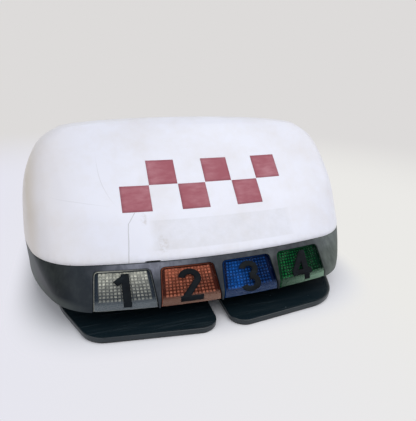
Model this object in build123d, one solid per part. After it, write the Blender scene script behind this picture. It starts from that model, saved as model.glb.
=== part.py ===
"""A free-standing taxi roof sign.

An opal dome stands on a flared black skirt with four coloured prismatic lenses in each long side.
A base pan closes the housing underneath, and two risers carry it on a pair of foot plates.
X runs along the sign, the front looks towards -Y, and the foot pads stand on Z = 0. Millimetres.
"""
import os
from collections import namedtuple
from math import asin, atan2, cos, degrees, hypot, radians, sin, sqrt, tan

from build123d import *

# Overall form
sign_length = 450.0
seam_depth = 308.8
skirt_flare = 29.4
end_draft = 1.2
skirt_bottom = 28.7
skirt_top = 72.0
dome_height = 136.0
lip_height = 9.5

# Plan outline at the seam: radii of the long faces, of the ends and of the corners
face_radius = 842.0
end_radius = 281.0
corner_radius = 75.5

# Walls, sheets and clearances
dome_wall = 3.0
skirt_wall = 3.0
gasket_thickness = 1.0
gasket_inset = 0.8
floor_thickness = 3.0
floor_recess = 3.0
fit_gap = 0.3

# Rim where dome and skirt meet
rim_width = 9.0
rim_thickness = 3.0
spigot_wall = 2.5
spigot_depth = 7.0
flange_width = 6.0
flange_thickness = 3.0

# Windows and lenses
window_count = 4
window_pitch = 74.6
window_top_margin = 5.6
mullion_top = 10.8
mullion_bottom = 2.1
window_corner = 6.0
lens_thickness = 3.4
lens_recess = 0.4
lens_lap = 4.0
lens_lap_thickness = 2.0
lens_border = 3.2
flute_count = 12
row_count = 8
flute_depth = 1.0
rib_thickness = 1.8
channel_depth = 22.0
reflector_thickness = 1.5
ledge_width = 16.0
ledge_thickness = 2.5

# Feet
pad_thickness = 1.6
pad_inset = 1.0
plate_thickness = 6.0
plate_gap = 16.4
plate_front_inner = 204.8
plate_front_outer = 187.4
plate_front_width = 144.7
plate_half_span = 190.0
plate_side_angle = 66.0
plate_inner_corner = 20.0
plate_outer_corner = 60.0
plate_side_corner = 150.0
plate_chamfer = 0.8
riser_width = 40.0
riser_length = 236.0
riser_offset = 98.0
riser_wall = 3.0
riser_bend = 5.0

# Cable inlet
gland_bore = 8.0
gland_thread = 16.0
gland_flange = 24.0
gland_flange_thickness = 3.0
gland_nose = 9.0
gland_nut = 4.0
gland_offset = 70.0

Plan = namedtuple("Plan", "half_length half_depth face end corner")

seam = Plan(sign_length / 2, seam_depth / 2, face_radius, end_radius, corner_radius)
foot = seam._replace(half_length=seam.half_length - end_draft, half_depth=seam.half_depth + skirt_flare)
bend_height = skirt_bottom + lip_height
face_rise = skirt_top - bend_height
face_slope = atan2(face_rise, skirt_flare)
floor_bottom = skirt_bottom + floor_recess
floor_top = floor_bottom + floor_thickness
dome_base = skirt_top + gasket_thickness
shell_base = dome_base + rim_thickness


def inset(plan, distance):
    """The outline moved inwards by one distance all round."""
    return Plan(*[value - distance for value in plan])


def oval(plan):
    """Face bounded by eight tangent arcs: two long faces, two ends and four corners."""
    face_y = plan.face - plan.half_depth
    end_x = plan.half_length - plan.end
    reach_face = plan.face - plan.corner
    reach_end = plan.end - plan.corner
    span = hypot(end_x, face_y)
    along = (reach_face**2 - reach_end**2 + span**2) / (2 * span)
    across = sqrt(reach_face**2 - along**2)
    ux, uy = end_x / span, -face_y / span
    options = [(ux * along - uy * s, face_y + uy * along + ux * s) for s in (across, -across)]
    cx, cy = max(options)
    on_face = (cx * plan.face / reach_face, face_y + (cy - face_y) * plan.face / reach_face)
    on_end = (end_x + (cx - end_x) * plan.end / reach_end, cy * plan.end / reach_end)
    start = atan2(on_face[1] - cy, on_face[0] - cx)
    stop = atan2(on_end[1] - cy, on_end[0] - cx)
    middle = (start + stop) / 2
    on_corner = (cx + plan.corner * cos(middle), cy + plan.corner * sin(middle))
    quarter = [(0, -plan.half_depth), on_face, on_corner, on_end, (plan.half_length, 0)]
    right = quarter + [(x, -y) for x, y in quarter[-2::-1]]
    ring = right + [(-x, y) for x, y in right[-2:0:-1]]
    # Stations alternate between the middle and the end of an arc, starting at the middle of the front
    ring = ring[-1:] + ring[:-1]
    arcs = [ThreePointArc(ring[i], ring[i + 1], ring[(i + 2) % len(ring)]) for i in range(0, len(ring), 2)]
    return make_face(arcs)


def slab(plan, bottom, top):
    """Straight-sided solid of one outline between two heights."""
    return Pos(0, 0, bottom) * extrude(oval(plan), top - bottom)


def hollow_slab(outer, inner, bottom, top):
    """Ring between two outlines."""
    return slab(outer, bottom, top) - slab(inner, bottom, top)


# Dome form, as shares of the seam's half length, half depth and radii and of the dome's height
DomeLevel = namedtuple("DomeLevel", "rise length depth face end corner")
dome_levels = [
    DomeLevel(0.000, 1.000, 1.000, 1.00, 1.000, 1.000),
    DomeLevel(0.173, 0.992, 0.872, 1.19, 0.879, 0.941),
    DomeLevel(0.338, 0.982, 0.742, 1.47, 0.769, 0.859),
    DomeLevel(0.518, 0.958, 0.566, 1.78, 0.604, 0.736),
    DomeLevel(0.691, 0.913, 0.396, 1.91, 0.412, 0.460),
    DomeLevel(0.784, 0.877, 0.304, 1.91, 0.286, 0.307),
    DomeLevel(0.863, 0.822, 0.225, 1.78, 0.165, 0.205),
    DomeLevel(0.901, 0.780, 0.187, 1.67, 0.121, 0.147),
    DomeLevel(0.935, 0.725, 0.150, 1.54, 0.082, 0.106),
    DomeLevel(0.956, 0.622, 0.126, 1.36, 0.069, 0.088),
    DomeLevel(0.973, 0.500, 0.098, 1.10, 0.055, 0.070),
    DomeLevel(0.988, 0.320, 0.066, 0.83, 0.036, 0.047),
    DomeLevel(0.996, 0.187, 0.041, 0.59, 0.027, 0.033),
]
# Levels that the outside keeps, and the fewer that do for the inside
outside_levels = [0, 1, 2, 3, 4, 5, 6, 8, 10, 12]
inside_levels = [0, 2, 4, 6, 9, 12]


def dome_walls(half_length, half_depth, height, kept_levels):
    """Foot face and wall faces of the dome, in bands from level to level."""
    sections = []
    for level in [dome_levels[k] for k in kept_levels]:
        radii = [seam.face * level.face, seam.end * level.end, seam.corner * level.corner]
        plan = Plan(half_length * level.length, half_depth * level.depth, *radii)
        sections.append(Pos(0, 0, shell_base + height * level.rise) * oval(plan))
    faces = loft(sections, ruled=True).faces().sort_by(Axis.Z)
    return faces[0], faces[1:]


def skirt_body(top_plan, bottom_plan):
    """Flared band down to the bend, with the upright lip below it."""
    sections = [Pos(0, 0, bend_height) * oval(bottom_plan), Pos(0, 0, skirt_top) * oval(top_plan)]
    band = loft(sections, ruled=True)
    return band + slab(bottom_plan, skirt_bottom, bend_height)


def face_frame(x):
    """Plane on the sloping front face at mid window, with X along the face, Y up the slope and Z outwards."""
    middle = (bend_height + skirt_top - window_top_margin) / 2
    share = (middle - bend_height) / face_rise
    half_depth = foot.half_depth - skirt_flare * share
    turn = asin(x / face_radius)
    origin = (x, face_radius * (1 - cos(turn)) - half_depth, middle)
    outward = (sin(turn) * sin(face_slope), -cos(turn) * sin(face_slope), cos(face_slope))
    return Plane(origin=origin, x_dir=(cos(turn), sin(turn), 0), z_dir=outward)


# Window outline in the face frame: it widens downwards and runs out below the lip
window_rise = (skirt_top - window_top_margin - bend_height) / sin(face_slope) / 2
lip_drop = lip_height * sin(face_slope)
lip_back = lip_height * cos(face_slope)
window_foot = -window_rise - lip_drop
overrun = 6.0


def window_outline(clearance, foot_y):
    """Outline with rounded upper corners, drawn smaller by a clearance on the sides and the top."""
    half_top = (window_pitch - mullion_top) / 2 - clearance
    half_bottom = (window_pitch - mullion_bottom) / 2 - clearance
    slant = (half_bottom - half_top) / (window_rise - window_foot)
    half_foot = half_bottom + slant * (window_foot - foot_y)
    top = window_rise - clearance
    corners = [(-half_foot, foot_y), (half_foot, foot_y), (half_top, top), (-half_top, top)]
    return FilletPolyline(*corners, radius=[0.0, 0.0, window_corner, window_corner], close=True)


def zigzag(count, start, stop, level, depth):
    """Points of a row of equal V grooves that dip from a level."""
    step = (stop - start) / count
    points = [(start, level)]
    for i in range(count):
        points.append((start + step * (i + 0.5), level - depth))
        points.append((start + step * (i + 1), level))
    return points


def lens_blank():
    """Lens for one window: bent panel with a smooth face, and a lap on top.

    Crossed grooves leave rows of prisms on its back.
    """
    front = -lens_recess
    back = front - lens_thickness
    top = window_rise - fit_gap
    bottom_y = window_foot + fit_gap * sin(face_slope)
    drop = lip_back - fit_gap * cos(face_slope)
    # Side profile (up the slope, outwards), extruded along the window
    rows = zigzag(row_count, window_rise - lens_border, -window_rise + lens_border, 0, flute_depth)
    back_face = [(y, back - z) for y, z in rows]
    lap_face = back - fit_gap - lens_lap_thickness
    shoulder = (-window_rise + lens_thickness * tan((radians(90) - face_slope) / 2), back)
    inner_foot_y = bottom_y + lens_thickness * cos(face_slope)
    inner_foot_z = front - drop - lens_thickness * sin(face_slope)
    profile = [(bottom_y, front - drop), (-window_rise, front), (top, front), (top, back)]
    profile += back_face + [shoulder, (inner_foot_y, inner_foot_z)]
    side = Plane.YZ * make_face(Polyline(*profile, close=True))
    half_width = (window_pitch - mullion_bottom) / 2
    panel = extrude(side, half_width, both=True)
    depth = lens_thickness + lip_back + overrun
    outline = extrude(make_face(window_outline(fit_gap, window_foot - overrun)), depth, dir=(0, 0, -1))
    panel = panel & outline
    # Upright grooves across the level ones, stopped short of the border
    half_field = (window_pitch - mullion_top) / 2 - lens_border
    teeth = zigzag(flute_count, -half_field, half_field, 0, flute_depth)
    teeth = [(x, back - z) for x, z in teeth] + [(half_field, back - 1), (-half_field, back - 1)]
    comb = Plane.XZ * make_face(Polyline(*teeth, close=True))
    field = extrude(comb, window_rise - lens_border, both=True)
    panel = panel - field
    # Lap that hooks behind the top of the window
    lap_width = window_pitch - mullion_top - 2 * window_corner
    lap_bottom = window_rise - lens_border
    lap_height = lens_lap + lens_border
    lap = Box(lap_width, lap_height, back - lap_face)
    return panel + Pos(0, lap_bottom + lap_height / 2, (back + lap_face) / 2) * lap


def turned(piece):
    """The same piece on the rear, half a turn about the upright axis."""
    return Rot(0, 0, 180) * piece


def build_skirt():
    """Moulded band with windows, top flange, ledge for the floor and ribs between the light channels."""
    outer = skirt_body(seam, foot)
    slope_inset = skirt_wall / sin(face_slope)
    seam_in = inset(seam, skirt_wall)._replace(half_depth=seam.half_depth - slope_inset)
    foot_in = inset(foot, skirt_wall)
    shell = outer - skirt_body(seam_in, foot_in)
    core = skirt_body(inset(seam, skirt_wall / 2), inset(foot, skirt_wall / 2))
    flange_bottom = skirt_top - flange_thickness
    flange = hollow_slab(inset(seam, skirt_wall / 2), inset(seam, flange_width), flange_bottom, skirt_top)
    ledge = hollow_slab(foot_in, inset(foot, ledge_width), floor_top, floor_top + ledge_thickness)
    shell = shell + flange + (ledge & core)
    opening = make_face(window_outline(0, window_foot - overrun))
    cutter = extrude(opening, 2 * skirt_wall) + extrude(opening, lens_thickness + lip_back, dir=(0, 0, -1))
    for k in range(window_count + 1):
        rib = channel_rib((k - window_count / 2) * window_pitch) & core
        shell = shell + rib + turned(rib)
    for x in window_places():
        window = face_frame(x).location * cutter
        shell = shell - window - turned(window)
    return shell


def window_places():
    """Middles of the windows along the sign."""
    return [(k - (window_count - 1) / 2) * window_pitch for k in range(window_count)]


def channel_rib(x):
    """Upright rib behind a mullion, from the front wall back to the reflector."""
    turn = asin(x / face_radius)
    front = foot.half_depth + face_radius * (cos(turn) - 1)
    length = skirt_flare + 2 * channel_depth
    height = dome_base - spigot_depth - fit_gap - floor_top
    block = Pos(0, length / 2, floor_top + height / 2) * Box(rib_thickness, length, height)
    block = Pos(x, -front, 0) * Rot(0, 0, degrees(turn)) * block
    behind = Cylinder(face_radius - channel_depth, 4 * skirt_top)
    return block - Pos(0, face_radius - seam.half_depth, 0) * behind


def build_dome():
    """Opal shell on an upright rim, with a spigot that drops inside the skirt's flange."""
    slope_wall = dome_wall / sin(face_slope)
    inside = [seam.half_length - dome_wall, seam.half_depth - slope_wall, dome_height - dome_wall]
    foot_outer, outer = dome_walls(seam.half_length, seam.half_depth, dome_height, outside_levels)
    foot_inner, inner = dome_walls(*inside, inside_levels)
    # The two skins close with a flat ring where they stand on the rim
    shell = Solid(Shell(outer + inner + (foot_outer - foot_inner).faces()))
    rim = hollow_slab(seam, inset(seam, rim_width), dome_base, shell_base)
    spigot_outer = inset(seam, flange_width + fit_gap)
    spigot = hollow_slab(spigot_outer, inset(spigot_outer, spigot_wall), dome_base - spigot_depth, dome_base)
    return shell + (rim + spigot)


def build_gasket():
    """Flat rubber ring between the dome and the skirt."""
    return hollow_slab(inset(seam, gasket_inset), inset(seam, flange_width), skirt_top, dome_base)


def build_reflector():
    """Curved strip that closes the light channels at the back."""
    outer = face_radius - channel_depth - fit_gap
    inner = outer - reflector_thickness
    half_span = window_count * window_pitch / 2
    band = Circle(outer) - Circle(inner)
    band = Pos(0, face_radius - seam.half_depth) * band
    band = band & Pos(0, -seam.half_depth / 2) * Rectangle(2 * half_span, seam.half_depth)
    height = skirt_top - flange_thickness - fit_gap - floor_top
    return Pos(0, 0, floor_top) * extrude(band, height)


def build_pan():
    """Floor of the housing, inside the lenses, with the hole for the cable gland."""
    plan = inset(foot, lens_recess + lens_thickness + fit_gap)
    pan = slab(plan, floor_bottom, floor_top)
    hole = Pos(0, gland_offset, floor_bottom) * Cylinder(gland_thread / 2 + fit_gap, 3 * floor_thickness)
    return pan - hole


def build_gland():
    """Cable inlet: flange under the floor, threaded neck through it and a nut above."""
    flange_bottom = floor_bottom - gland_flange_thickness
    bottom = flange_bottom - gland_nose
    neck_top = floor_top + gland_nut
    up = (Align.CENTER, Align.CENTER, Align.MIN)
    neck = Pos(0, 0, bottom) * Cylinder(gland_thread / 2, neck_top - bottom, align=up)
    flange = Pos(0, 0, flange_bottom) * Cylinder(gland_flange / 2, gland_flange_thickness, align=up)
    nut = Pos(0, 0, floor_top) * extrude(RegularPolygon(gland_flange / 2, 6), gland_nut)
    bore = Pos(0, 0, bottom) * Cylinder(gland_bore / 2, neck_top - bottom, align=up)
    return Pos(0, gland_offset, 0) * (neck + flange + nut - bore)


def plate_outline(distance):
    """Outline of the right foot plate, moved inwards by a distance."""
    inner = plate_gap / 2
    front_outer_x = inner + plate_front_width
    run = plate_half_span - front_outer_x
    side_y = plate_front_outer - run * tan(radians(plate_side_angle))
    front = [(inner, -plate_front_inner), (front_outer_x, -plate_front_outer), (plate_half_span, -side_y)]
    points = front + [(x, -y) for x, y in reversed(front)]
    corners = [plate_inner_corner, plate_outer_corner, plate_side_corner]
    face = make_face(FilletPolyline(*points, radius=corners + corners[::-1], close=True))
    if distance:
        face = offset(face, -distance)
    return face


def build_plate():
    """Right foot plate, with its upper edge eased."""
    plate = Pos(0, 0, pad_thickness) * extrude(plate_outline(0), plate_thickness)
    return chamfer(plate.edges().group_by(Axis.Z)[-1], plate_chamfer)


def build_pad():
    """Rubber sheet under the right foot plate."""
    return extrude(plate_outline(pad_inset), pad_thickness)


def build_riser():
    """Folded channel between the right foot plate and the floor, open below and at both ends."""
    bottom = pad_thickness + plate_thickness
    height = floor_bottom - bottom
    outer = Rectangle(riser_width, 2 * height)
    outer = fillet(outer.vertices(), riser_bend)
    inner = Rectangle(riser_width - 2 * riser_wall, 2 * (height - riser_wall))
    inner = fillet(inner.vertices(), riser_bend - riser_wall)
    upper_half = Pos(0, height / 2) * Rectangle(riser_width, height)
    profile = Plane.XZ * ((outer - inner) & upper_half)
    return Pos(riser_offset, 0, bottom) * extrude(profile, riser_length / 2, both=True)


os.makedirs("parts", exist_ok=True)

lens = lens_blank()
lens_colours = ["clear", "orange", "blue", "green"]
nodes = {
    "dome": build_dome(),
    "seam_gasket": build_gasket(),
    "skirt": build_skirt(),
    "base_pan": build_pan(),
    "cable_gland": build_gland(),
    "reflector_front": build_reflector(),
    "reflector_rear": turned(build_reflector()),
    "foot_plate_right": build_plate(),
    "foot_plate_left": turned(build_plate()),
    "foot_pad_right": build_pad(),
    "foot_pad_left": turned(build_pad()),
    "riser_right": build_riser(),
    "riser_left": turned(build_riser()),
}
for colour, x in zip(lens_colours, window_places()):
    placed = face_frame(x).location * lens
    nodes["lens_" + colour + "_front"] = placed
    nodes["lens_" + colour + "_rear"] = turned(placed)

for name, shape in nodes.items():
    export_step(shape, "parts/" + name + ".step")
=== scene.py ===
"""Looks of a free-standing taxi roof sign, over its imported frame.

The opal dome, the black skirt, the prismatic lenses, their numbers and the foot plates are surfaces worked
out here from the frame's sizes. The pieces underneath keep their own meshes and get their finishes.
The front looks towards -Y and the pads stand on Z = 0. Lengths are metres.
"""
from collections import namedtuple
from functools import partial
from math import asin, pi, radians, tan

import bmesh
import bpy
import numpy as np
from bpy.props import FloatProperty, FloatVectorProperty, IntProperty, PointerProperty
from mathutils import Matrix, Vector


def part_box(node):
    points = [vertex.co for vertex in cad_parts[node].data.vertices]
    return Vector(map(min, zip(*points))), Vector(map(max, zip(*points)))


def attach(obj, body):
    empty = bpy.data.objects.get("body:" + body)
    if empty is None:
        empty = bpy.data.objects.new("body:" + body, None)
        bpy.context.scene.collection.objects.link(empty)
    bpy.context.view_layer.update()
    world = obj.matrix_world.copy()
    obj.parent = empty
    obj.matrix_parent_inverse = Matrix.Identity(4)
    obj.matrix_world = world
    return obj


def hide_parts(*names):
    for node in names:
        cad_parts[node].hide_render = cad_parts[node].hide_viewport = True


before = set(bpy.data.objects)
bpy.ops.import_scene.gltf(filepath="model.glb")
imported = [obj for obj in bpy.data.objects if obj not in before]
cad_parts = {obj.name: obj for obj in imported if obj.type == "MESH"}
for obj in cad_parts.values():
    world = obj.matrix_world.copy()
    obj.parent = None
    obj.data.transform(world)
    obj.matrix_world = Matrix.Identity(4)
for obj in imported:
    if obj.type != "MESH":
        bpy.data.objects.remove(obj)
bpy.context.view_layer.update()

bl_info = {
    "name": "Taxi roof sign",
    "version": (1, 0, 0),
    "blender": (4, 5, 0),
    "location": "3D View > Sidebar > Roof Sign",
    "description": "Builds the finished surfaces of a taxi roof sign over its frame",
    "category": "Add Mesh",
}

MM = 0.001
# Points closer than this are joined
SAME_POINT = 0.002 * MM
# The rear is the front, half a turn about the upright axis
HALF_TURN = (-1, -1, 1)
SIDES = (("front", 1), ("rear", HALF_TURN))
# Boxes of the frame's dome and skirt, in millimetres
dome_low, dome_high = np.array(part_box("dome")) / MM
skirt_low, skirt_high = np.array(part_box("skirt")) / MM
skirt_size, dome_size = skirt_high - skirt_low, dome_high - dome_low


def linear(code):
    """Linear colour, with alpha, of an sRGB hex value."""
    parts = [int(code[i : i + 2], 16) / 255 for i in (1, 3, 5)]
    return tuple(c / 12.92 if c <= 0.04045 else ((c + 0.055) / 1.055) ** 2.4 for c in parts) + (1.0,)


def size(name, description, length):
    """A length that a user can change, from millimetres."""
    return FloatProperty(name=name, description=description, default=length * MM, unit="LENGTH", precision=5)


def number(name, description, default, least=1):
    """A whole number that a user can change."""
    return IntProperty(name=name, description=description, default=default, min=least)


def tint(name, description, code):
    """A colour that a user can change, from an sRGB hex value."""
    return FloatVectorProperty(
        name=name, description=description, default=linear(code), subtype="COLOR", size=4, min=0.0, max=1.0
    )


class HousingSizes(bpy.types.PropertyGroup):
    """Sizes of the dome and the skirt, which start from the frame's boxes."""

    length: size("Length", "Length of the outline at the seam", dome_size[0])
    seam_depth: size("Seam depth", "Depth of the outline at the seam", dome_size[1])
    flare: size(
        "Flare", "How far the skirt's foot stands out in front of the seam",
        (skirt_size[1] - dome_size[1]) / 2,
    )
    draft: size("Draft", "How far the skirt's foot draws in at the ends", 1.2)
    bottom: size("Bottom", "Height of the skirt's lower edge", skirt_low[2])
    bend: size("Bend", "Height of the bend between the skirt's slope and its lip", skirt_low[2] + 9.5)
    top: size("Top", "Height of the skirt's upper edge", skirt_high[2])
    ridge: size("Ridge", "Height of the dome's ridge", dome_high[2])
    rim: size("Rim", "Height of the dome's upright rim", 3.0)
    face_radius: size("Face radius", "Plan radius of the long faces", 842.0)
    end_radius: size("End radius", "Plan radius of the ends", 281.0)
    corner_radius: size("Corner radius", "Plan radius of the corners", 75.5)
    wall: size("Wall", "Wall thickness", 3.0)


class WindowSizes(bpy.types.PropertyGroup):
    """Sizes of the windows and the lenses in the skirt."""

    count: number("Count", "Windows in each long side", 4)
    pitch: size("Pitch", "Distance between the middles of two windows", 74.6)
    mullion_top: size("Mullion top", "Width between windows at the top", 10.8)
    mullion_foot: size("Mullion foot", "Width between windows at the lower edge", 2.1)
    margin: size("Margin", "Height of skirt above the windows", 5.6)
    corner: size("Corner", "Radius of a window's upper corners", 6.0)
    edge: size("Edge", "Radius of the moulded edges", 0.8)
    gap: size("Gap", "Clearance round a lens", 0.8)
    recess: size("Recess", "How far a lens lies below the skirt's face", 0.4)
    thickness: size("Thickness", "Thickness of a lens", 3.4)
    border: size("Border", "Plain border above the prisms", 3.6)
    side_border: size("Side border", "Plain border beside the prisms", 4.6)
    prism_foot: size("Prism foot", "Distance from the skirt's lower edge to the prisms", 9.6)
    columns: number("Columns", "Prisms across a lens", 14)
    rows: number("Rows", "Prisms up a lens", 9)
    prism_depth: size("Prism depth", "Depth of the grooves between prisms", 1.0)


class MarkingSizes(bpy.types.PropertyGroup):
    """Sizes of the film markings."""

    square: size("Square", "Side of a square of the chequer band", 36.0)
    squares: number("Squares", "Squares along the band", 6, least=2)
    bands: number("Rows", "Rows of squares", 2)
    band_middle: size("Band middle", "Middle of the band along the sign", 3.6)
    band_foot: size("Band foot", "Height of the band's lower edge", 119.1)
    number_height: size("Number height", "Height of a number on a lens", 38.0)
    number_stretch: FloatProperty(
        name="Number stretch", description="Width of the numbers against their height", default=1.2
    )
    number_foot: size("Number foot", "Distance from the skirt's lower edge to a number", 4.6)
    film: size("Film", "Thickness of the film", 0.12)


class FootSizes(bpy.types.PropertyGroup):
    """Sizes of the foot plates."""

    gap: size("Gap", "Gap between the two plates", 16.4)
    front_inner: size("Front, inner", "Depth of the front corner beside the gap", 204.8)
    front_outer: size("Front, outer", "Depth of the front corner at the side", 187.4)
    front_width: size("Front width", "Width of the front edge", 144.7)
    half_span: size("Half span", "Distance from the middle to the side", 190.0)
    side_angle: FloatProperty(
        name="Side angle", description="Angle of the slanting side", default=radians(66.0), subtype="ANGLE"
    )
    inner_corner: size("Inner corner", "Radius of the corners beside the gap", 20.0)
    front_corner: size("Front corner", "Radius of the right plate's front outer corner", 55.0)
    rear_corner: size("Rear corner", "Radius of its rear one, the front one of the left plate", 32.0)
    side_corner: size("Side corner", "Radius of the corners at the side", 150.0)
    pad_inset: size("Pad inset", "How far the pad's edge lies inside the plate's", 1.0)
    edge: size("Edge", "Radius of the upper edge", 1.1)


class Colours(bpy.types.PropertyGroup):
    """Base colours of the finishes."""

    opal: tint("Opal", "Opal acrylic of the dome", "#E8E9F2")
    aged_and_shade: tint("Aged opal", "Opal acrylic where it has yellowed", "#CFC4B4")
    film_red: tint("Red film", "Film of the chequer band", "#A4606A")
    film_black: tint("Black film", "Film of the numbers", "#0F1216")
    skirt: tint("Skirt", "Black moulding of the skirt", "#0F1619")
    skirt_worn: tint("Worn skirt", "Dusty, scuffed skirt", "#636B65")
    clear: tint("Clear lens", "Clear lens", "#DEDECF")
    orange: tint("Orange lens", "Orange lens", "#DE8466")
    blue: tint("Blue lens", "Blue lens", "#206CC8")
    green: tint("Green lens", "Green lens", "#16A050")
    plate: tint("Foot plate", "Black sheet of the foot plates", "#142026")
    floor: tint("Floor", "Floor", "#F0F0F3")


# Plan outline of eight tangent arcs: half sizes and the radii of its faces, ends and corners
Plan = namedtuple("Plan", "half_length half_depth face end corner")
# Centres and joints of its front right quarter: the face's arc, then the corner's, then the end's
Joints = namedtuple("Joints", "face_y end_x corner_x corner_y face_stop end_start")


def joints(plan):
    """Centres and joint angles of a quarter. The corner's centre is where two circles meet, one about the
    face's centre and one about the end's, each as large as that arc's radius less the corner's."""
    face_y = plan.face - plan.half_depth
    end_x = plan.half_length - plan.end
    from_face = plan.face - plan.corner
    from_end = plan.end - plan.corner
    apart = np.hypot(end_x, face_y)
    along = (from_face**2 - from_end**2 + apart**2) / (2 * apart)
    across = np.sqrt(np.maximum(from_face**2 - along**2, 0))
    corner_x = (end_x * along + face_y * across) / apart
    corner_y = face_y + (end_x * across - face_y * along) / apart
    face_stop = np.arctan2(corner_x, face_y - corner_y)
    end_start = np.arctan2(corner_x - end_x, -corner_y)
    return Joints(face_y, end_x, corner_x, corner_y, face_stop, end_start)


def outline(plan, angle, inset=0.0):
    """X and Y where the outline's normal stands at an angle from the front: the centre of the arc that holds
    the angle, plus its radius less the inset along the normal."""
    at = joints(plan)
    turn = np.abs(angle)
    on_face = turn < at.face_stop
    on_end = turn > at.end_start
    centre_x = np.where(on_face, 0.0, np.where(on_end, at.end_x, at.corner_x))
    centre_y = np.where(on_face, at.face_y, np.where(on_end, 0.0, at.corner_y))
    radius = np.where(on_face, plan.face, np.where(on_end, plan.end, plan.corner)) - inset
    x = np.sign(angle) * (centre_x + radius * np.sin(turn))
    return x, centre_y - radius * np.cos(turn)


def half_ring(plan, face_steps=28, corner_steps=22, end_steps=12):
    """Normal angles from the left end round the front to the right end, in equal steps within each arc."""
    at = joints(plan)
    face = np.linspace(0, 1, face_steps, endpoint=False) * at.face_stop
    corner = at.face_stop + np.linspace(0, 1, corner_steps, endpoint=False) * (at.end_start - at.face_stop)
    end = at.end_start + np.linspace(0, 1, end_steps + 1) * (pi / 2 - at.end_start)
    quarter = np.concatenate([face, corner, end], -1)
    return np.concatenate([-quarter[..., :0:-1], quarter], -1)


def stacked(x, y, z):
    """Points from coordinates that may be single values, rows or whole grids."""
    return np.stack(np.broadcast_arrays(x, y, z), -1)


def rings(plan, height, inset=0.0):
    """Front half rings on outlines, one for each height and inset of a column."""
    return stacked(*outline(plan, half_ring(plan), inset), height)


def seam_plan(sizes, longer=0.0, deeper=0.0):
    """Plan of the seam's outline, made longer at each end and deeper at each long face."""
    half_length, half_depth = sizes.length / 2 + longer, sizes.seam_depth / 2 + deeper
    return Plan(half_length, half_depth, sizes.face_radius, sizes.end_radius, sizes.corner_radius)


def seam_rings(sizes, heights, insets):
    """Front half rings of the seam's outline at given heights and insets."""
    return rings(seam_plan(sizes), np.array(heights)[:, None], np.array(insets)[:, None])


def rounding(radius, steps=3):
    """Distances in from a face and down from an edge along a quarter round between them, from the face on."""
    turn = np.linspace(0, pi / 2, steps + 1)
    return radius * (1 - np.cos(turn)), radius * (1 - np.sin(turn))


def grid_quads(rows, columns):
    """Corner numbers of the quads of a grid whose points run row by row."""
    first = np.arange(rows - 1)[:, None] * columns + np.arange(columns - 1)
    return np.stack([first, first + 1, first + columns + 1, first + columns], -1).reshape(-1, 4)


def make_piece(name, patches, finishes, kinds=None, shades=None, crease=30.0, fill=False):
    """One object from grids of points, with their shared edges joined and its faces outwards. kinds and
    shades give each patch, or each of its faces, the number of its finish and the value of the attribute
    "shade"."""
    points, quads, numbers, values, start = [], [], [], [], 0
    none = [0] * len(patches)
    for patch, kind, shade in zip(patches, kinds or none, shades or none):
        rows, columns = patch.shape[:2]
        points.append(patch.reshape(-1, 3))
        quads.append(grid_quads(rows, columns) + start)
        numbers.append(np.broadcast_to(kind, (rows - 1, columns - 1)).ravel())
        values.append(np.broadcast_to(shade, (rows - 1, columns - 1)).ravel())
        start += rows * columns
    mesh = bpy.data.meshes.new(name)
    mesh.from_pydata(np.concatenate(points).tolist(), [], np.concatenate(quads).tolist())
    mesh.polygons.foreach_set("material_index", np.concatenate(numbers).astype(np.int32))
    if shades:
        attribute = mesh.attributes.new("shade", "FLOAT", "FACE")
        attribute.data.foreach_set("value", np.concatenate(values).astype(np.float32))
    work = bmesh.new()
    work.from_mesh(mesh)
    bmesh.ops.remove_doubles(work, verts=work.verts, dist=SAME_POINT)
    if fill:
        bmesh.ops.holes_fill(work, edges=work.edges, sides=0)
    bmesh.ops.recalc_face_normals(work, faces=work.faces)
    work.to_mesh(mesh)
    work.free()
    mesh.polygons.foreach_set("use_smooth", np.ones(len(mesh.polygons), bool))
    mesh.set_sharp_from_angle(angle=radians(crease))
    piece = bpy.data.objects.new(name, mesh)
    bpy.context.scene.collection.objects.link(piece)
    for finish in finishes:
        mesh.materials.append(finish)
    return piece


def seat(piece, slot, *nodes):
    """The piece rides on the sign's one body and stands for CAD nodes, which are hidden. Its slot is not
    used.
    """
    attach(piece, "root")
    if nodes:
        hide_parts(*nodes)


# Dome: shares of the seam's half sizes and radii at shares of the dome's height
dome_levels = np.array([
    # rise, length, depth, face, end, corner
    (0.000, 1.000, 1.000, 1.00, 1.000, 1.000),
    (0.173, 0.992, 0.872, 1.19, 0.879, 0.941),
    (0.338, 0.982, 0.742, 1.47, 0.769, 0.859),
    (0.518, 0.958, 0.566, 1.78, 0.604, 0.736),
    (0.691, 0.913, 0.396, 1.91, 0.412, 0.460),
    (0.784, 0.877, 0.304, 1.91, 0.286, 0.307),
    (0.863, 0.822, 0.225, 1.78, 0.165, 0.205),
    (0.901, 0.780, 0.187, 1.67, 0.121, 0.147),
    (0.935, 0.725, 0.150, 1.54, 0.082, 0.106),
    (0.956, 0.622, 0.126, 1.36, 0.069, 0.088),
    (0.973, 0.500, 0.098, 1.10, 0.055, 0.070),
    (0.988, 0.320, 0.066, 0.83, 0.036, 0.047),
    (0.996, 0.187, 0.041, 0.59, 0.027, 0.033),
    (1.000, 0.000, 0.000, 0.40, 0.000, 0.000),
])


def dome_path(sizes):
    """Distance of each dome level from the rim, measured up the middle of the front face."""
    step_out = np.diff(dome_levels[:, 2]) * sizes.seam_depth / 2
    step_up = np.diff(dome_levels[:, 0]) * (sizes.ridge - sizes.top - sizes.rim)
    return np.concatenate([[0], np.cumsum(np.hypot(step_out, step_up))])


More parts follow.
